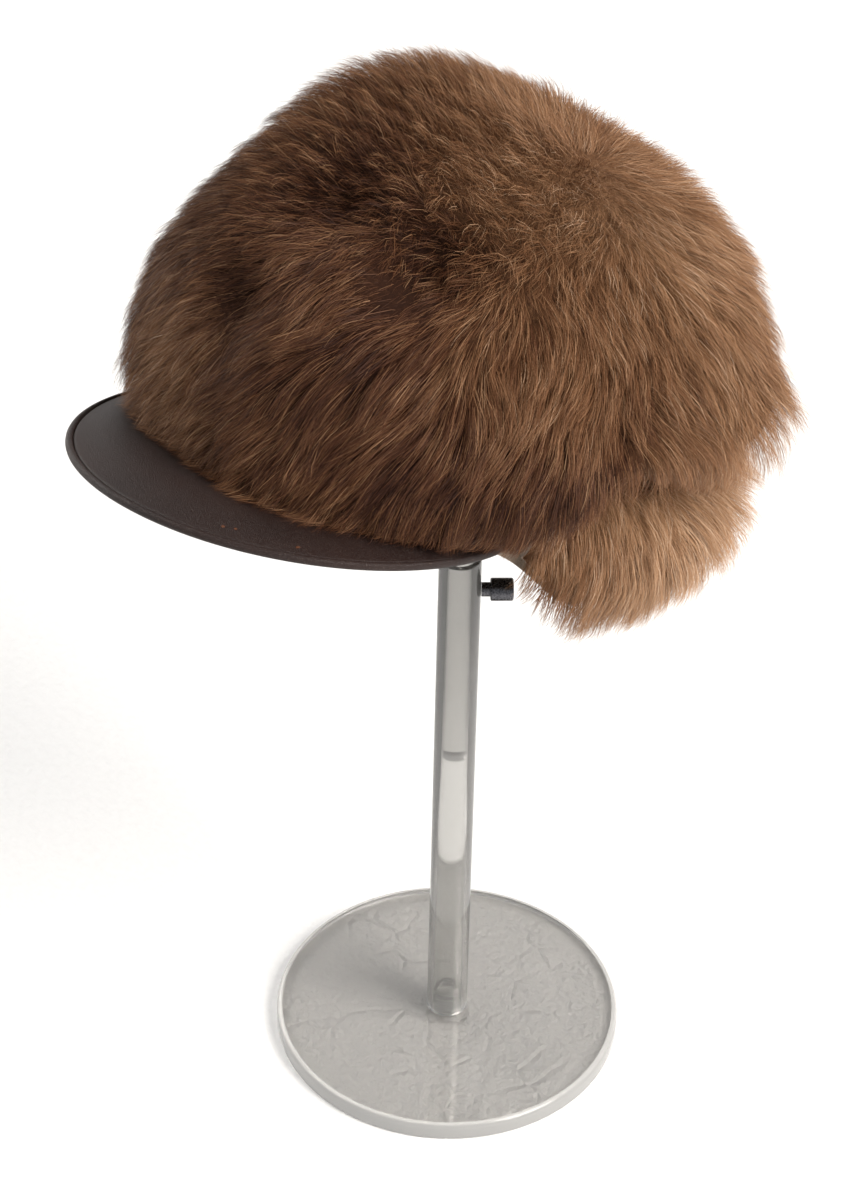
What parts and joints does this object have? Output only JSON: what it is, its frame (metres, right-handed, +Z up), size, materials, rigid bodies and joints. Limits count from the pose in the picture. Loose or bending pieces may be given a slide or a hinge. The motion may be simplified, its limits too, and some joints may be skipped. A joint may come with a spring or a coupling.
{
  "type": "pageboy hat on display stand",
  "caption": "Fur pageboy hat with a full crown, rear cuff and leather peak, tilted back on a clear telescoping stand with a round base.",
  "frame": {"origin": "centre of the underside of the base disc", "axes": "+X is the wearer's left side, -Y is the front of the hat, +Z is up"},
  "size_m": [0.2507, 0.2958, 0.4799],
  "materials": {
    "fur": "long brown fur",
    "hide": "suede side of the pelt",
    "peak_leather": "dark brown, fine grain, worn sheen",
    "clear_acrylic": "clear polished acrylic",
    "dark_chrome": "dark polished"
  },
  "bodies": {
    "root": {"crown_hide": "hide", "crown_fur": "fur", "rear_cuff": "hide", "rear_cuff_fur": "fur", "headband": "hide", "peak": "peak_leather", "peak_piping": "peak_leather", "base_disc": "clear_acrylic", "outer_tube": "clear_acrylic", "foot_plug": "clear_acrylic", "inner_rod": "clear_acrylic", "hat_support": "clear_acrylic", "thumbscrew": "dark_chrome"}
  },
  "joints": []
}
